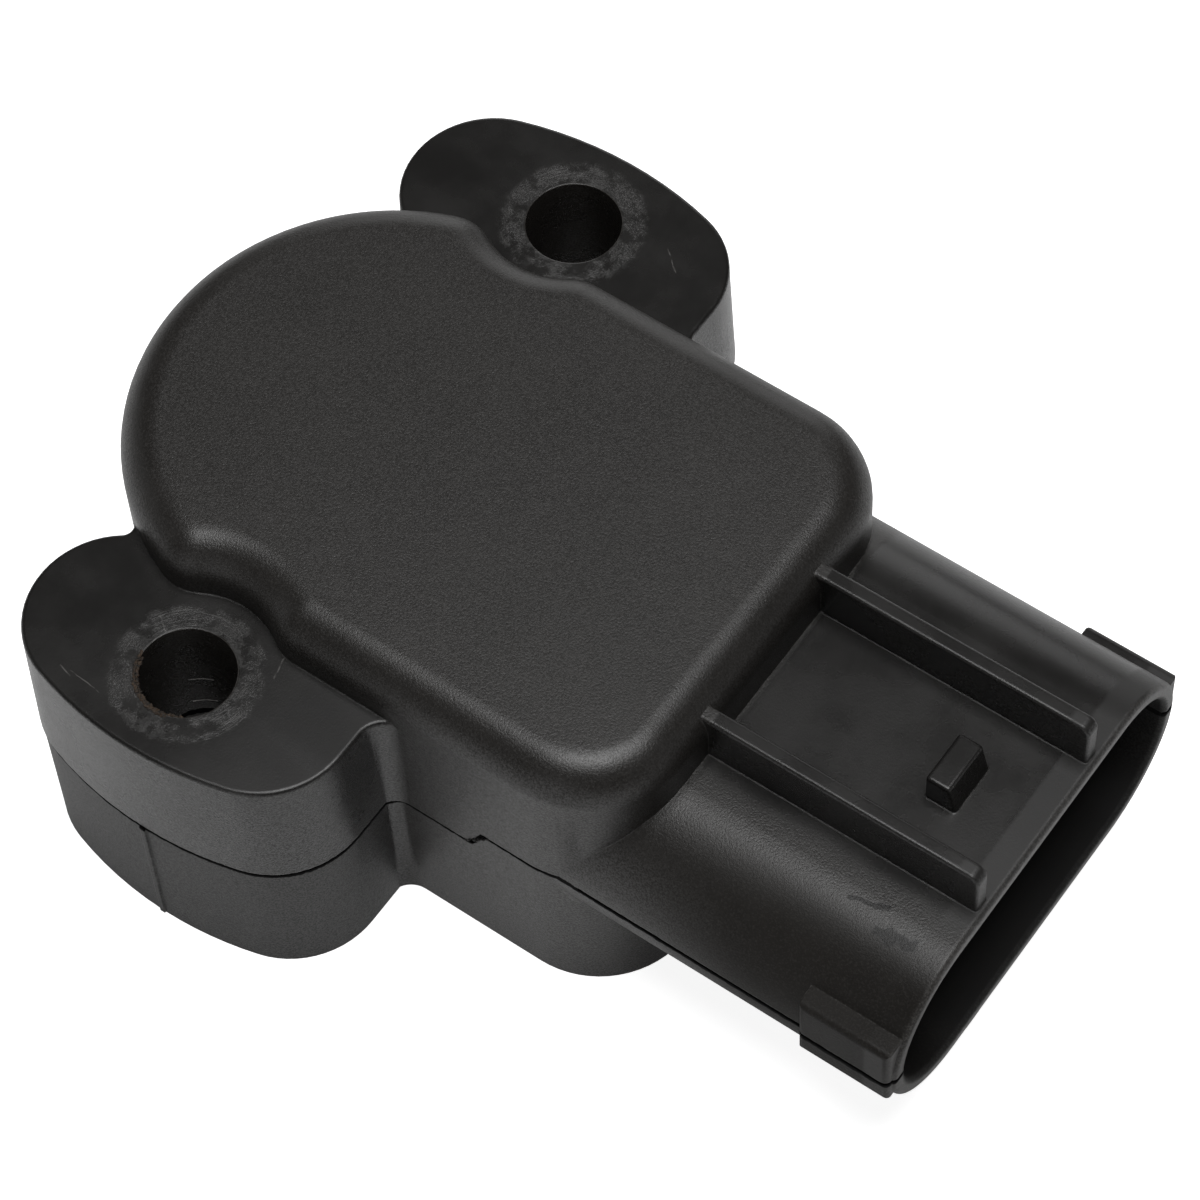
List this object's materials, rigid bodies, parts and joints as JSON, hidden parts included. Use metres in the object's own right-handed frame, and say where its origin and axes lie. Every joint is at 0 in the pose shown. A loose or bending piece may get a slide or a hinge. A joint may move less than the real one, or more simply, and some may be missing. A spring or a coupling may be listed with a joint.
{
  "type": "accelerator pedal sensor",
  "caption": "Black moulded pedal position sensor: a round-ended housing with fixing ears and a keyed connector shroud, and a rotor with wipers that turns from its underside",
  "frame": {"origin": "on the rotor's axis, midway between the fixing holes, in the plane of the mounting face", "axes": "+X out of the connector's mouth, +Y along the fixing holes, +Z to the closed top of the body"},
  "size_m": [0.0706, 0.058, 0.0271],
  "materials": {
    "housing_plastic": "black moulded plastic with a fine eroded grain",
    "cover_plastic": "black moulded plastic, smooth",
    "seal_rubber": "black seal rubber",
    "washer_steel": "plain washer steel",
    "rotor_plastic": "natural moulded plastic",
    "spring_steel": "drawn spring wire",
    "board_laminate": "brown laminate with dark tracks",
    "contact_metal": "sprung contact alloy",
    "terminal_metal": "tinned blade"
  },
  "bodies": {
    "sensor": {"housing": "housing_plastic", "rear_cover": "cover_plastic", "cover_seal": "seal_rubber", "shaft_seal": "seal_rubber", "thrust_washer": "washer_steel", "return_spring": "spring_steel", "element_board": "board_laminate", "terminal_1": "terminal_metal", "terminal_2": "terminal_metal", "terminal_3": "terminal_metal", "terminal_4": "terminal_metal", "terminal_5": "terminal_metal", "terminal_6": "terminal_metal"},
    "turning_rotor": {"rotor": "rotor_plastic", "wiper_primary": "contact_metal", "wiper_secondary": "contact_metal"}
  },
  "joints": [
    {"name": "rotor_turn", "type": "hinge", "parent": "sensor", "child": "turning_rotor", "pos_m": [0, 0, 0], "axis": [0, 0, 1], "range_deg": [0, 80], "stiffness_Nm_per_rad": 0.01}
  ]
}
